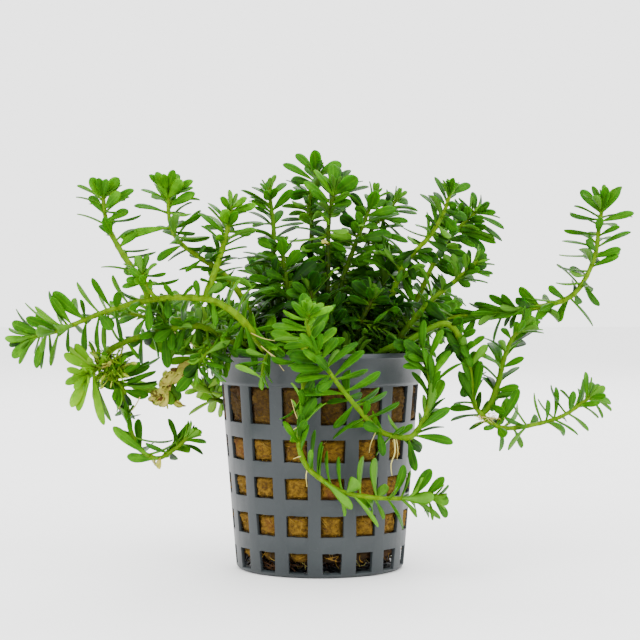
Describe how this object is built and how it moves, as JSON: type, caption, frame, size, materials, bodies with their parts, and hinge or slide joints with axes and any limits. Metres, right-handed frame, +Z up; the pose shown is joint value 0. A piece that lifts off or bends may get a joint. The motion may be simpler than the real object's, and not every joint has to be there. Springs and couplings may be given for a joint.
{
  "type": "potted aquarium stem plant",
  "caption": "Bushy aquarium stem plant with whorled narrow leaves, standing in a round slotted net pot filled with rock wool; runners arch and trail over the rim.",
  "frame": {"origin": "centre of the underside of the net pot, on the surface that it stands on", "axes": "+Z up along the pot's axis, +X toward the long runner on the right, -Y toward the front, where the shoots trail over the rim"},
  "size_m": [0.1432, 0.0833, 0.0992],
  "materials": {
    "pot_plastic": "matt moulded plastic, bluish grey",
    "rock_wool": "wet fibrous rock wool, ochre brown",
    "green_shoot": "waxy green leaves on yellow-green stems",
    "pale_shoot": "pale and yellowing leaves"
  },
  "bodies": {
    "root": {"pot": "pot_plastic", "rock_wool": "rock_wool", "left_runner": "green_shoot", "left_runner_outer_branch": "green_shoot", "left_runner_inner_branch": "green_shoot", "left_runner_side_bud": "green_shoot", "left_upright_shoot": "green_shoot", "left_trailer": "green_shoot", "left_trailer_cluster": "pale_shoot", "withered_shoot": "pale_shoot", "front_left_shoot": "green_shoot", "front_left_sprig": "green_shoot", "front_trailer": "green_shoot", "front_lower_trailer": "green_shoot", "crown_front_shoot": "green_shoot", "crown_back_shoot": "green_shoot", "crown_left_shoot": "green_shoot", "crown_left_low_shoot": "green_shoot", "crown_right_shoot": "green_shoot", "crown_right_back_shoot": "green_shoot", "right_upright_shoot": "green_shoot", "right_outer_shoot": "green_shoot", "right_low_shoot": "green_shoot", "right_runner": "green_shoot", "right_trailer": "green_shoot", "right_trailer_branch": "green_shoot", "inner_front_left_shoot": "green_shoot", "inner_front_right_shoot": "green_shoot", "inner_right_shoot": "green_shoot", "inner_left_shoot": "green_shoot", "left_back_runner": "green_shoot", "back_left_runner": "green_shoot", "back_left_shoot": "green_shoot", "back_centre_shoot": "green_shoot", "back_right_shoot": "green_shoot", "back_trailer": "green_shoot", "back_right_runner": "green_shoot"}
  },
  "joints": []
}
